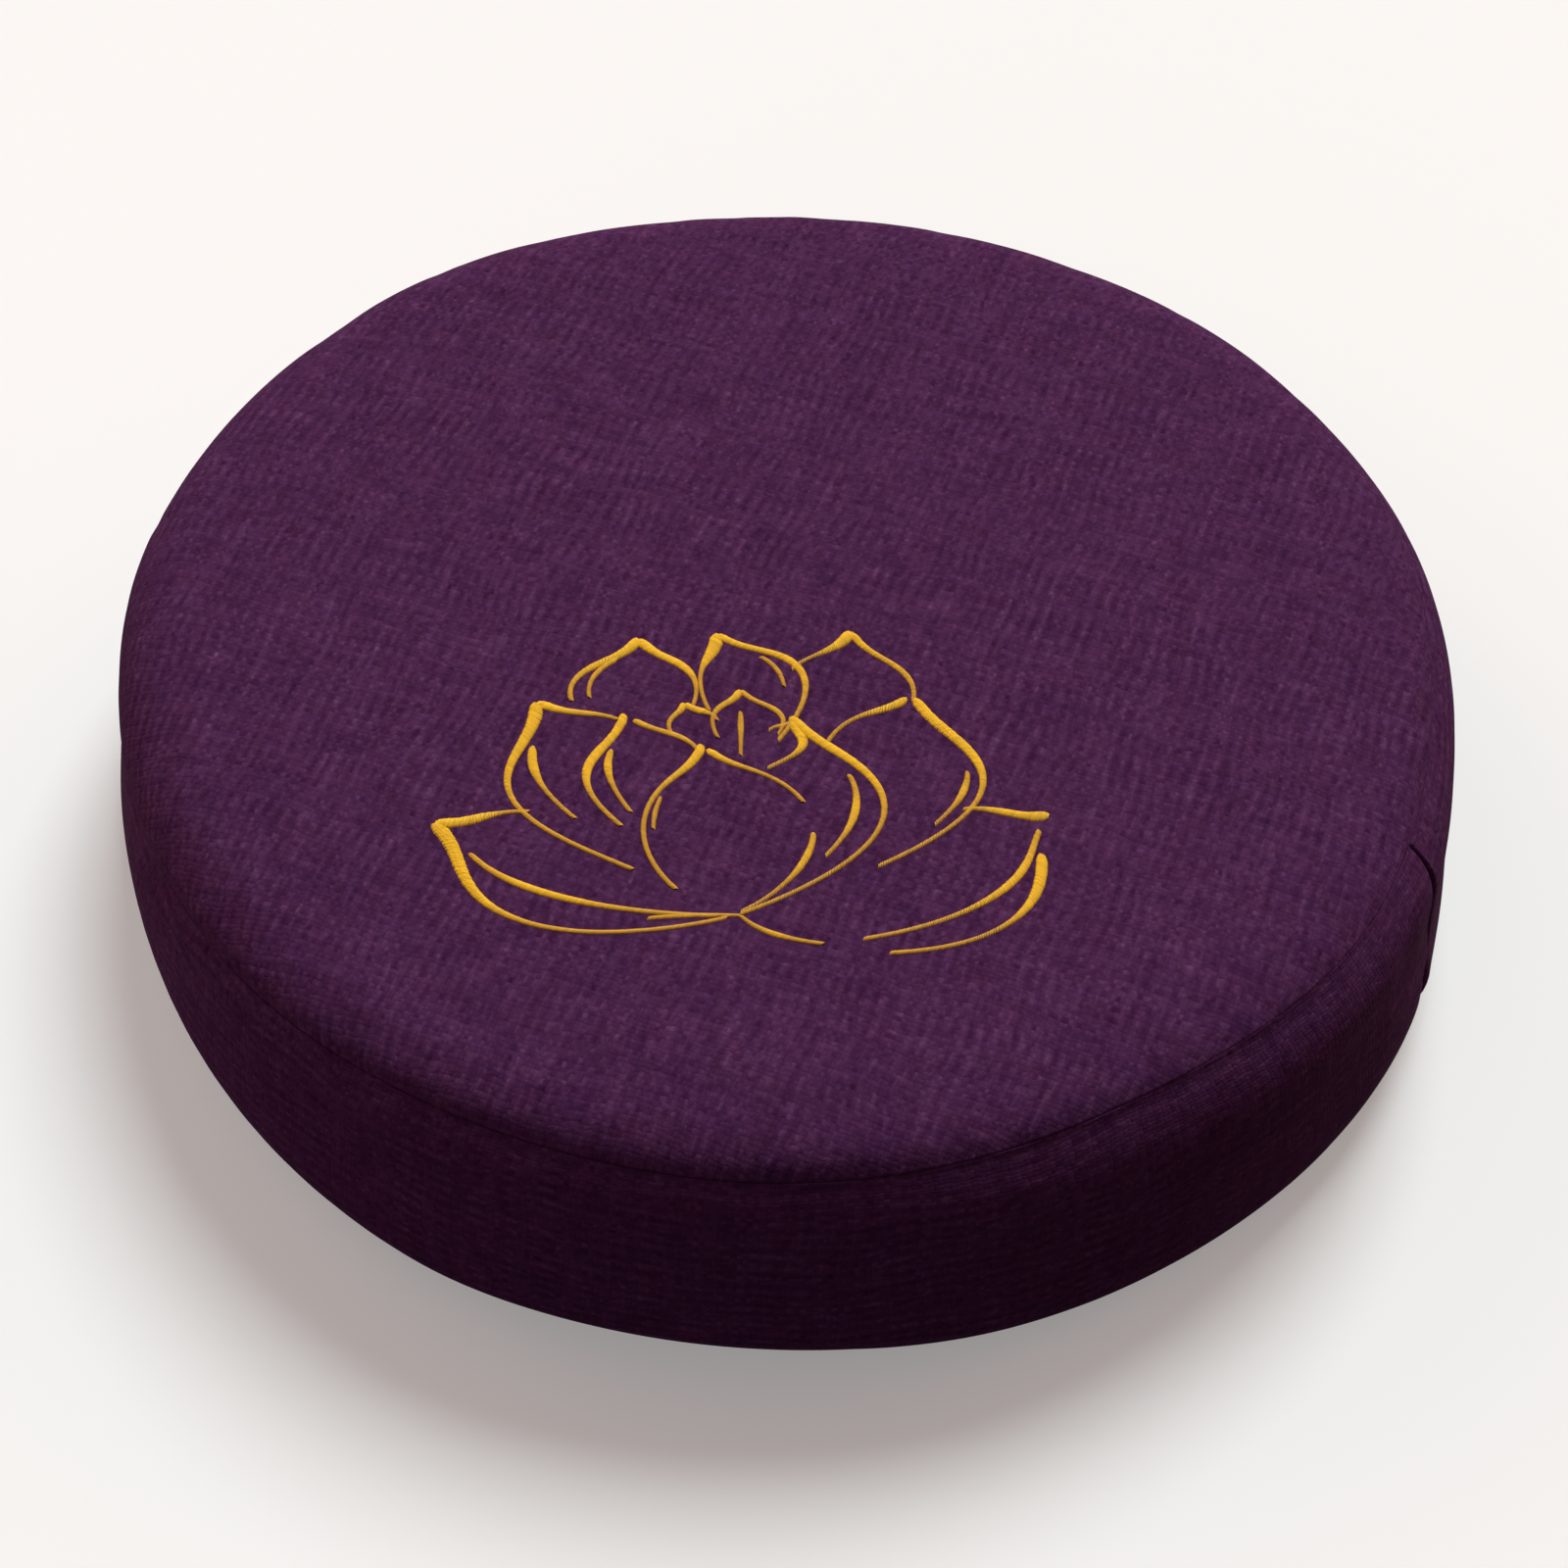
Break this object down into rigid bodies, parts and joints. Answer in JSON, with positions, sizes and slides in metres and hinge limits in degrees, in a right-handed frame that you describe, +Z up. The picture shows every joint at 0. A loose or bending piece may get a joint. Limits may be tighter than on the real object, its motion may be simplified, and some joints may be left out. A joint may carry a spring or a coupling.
{
  "type": "zafu meditation cushion",
  "caption": "Low round meditation cushion: a filled cloth cushion with a crowned top, rounded shoulder, upright side band, leaning top seam and flat base.",
  "frame": {"origin": "middle of the flat base, on the surface that the cushion rests on", "axes": "+Z up through the thickness, -Y towards the front of the embroidered motif, +X to its right"},
  "size_m": [0.4038, 0.4036, 0.0865],
  "materials": {
    "cover_cloth": "matt slubby linen-look plain weave, deep purple",
    "gold_thread": "lustrous golden yellow embroidery thread"
  },
  "bodies": {
    "root": {"cushion": "cover_cloth"}
  },
  "joints": []
}
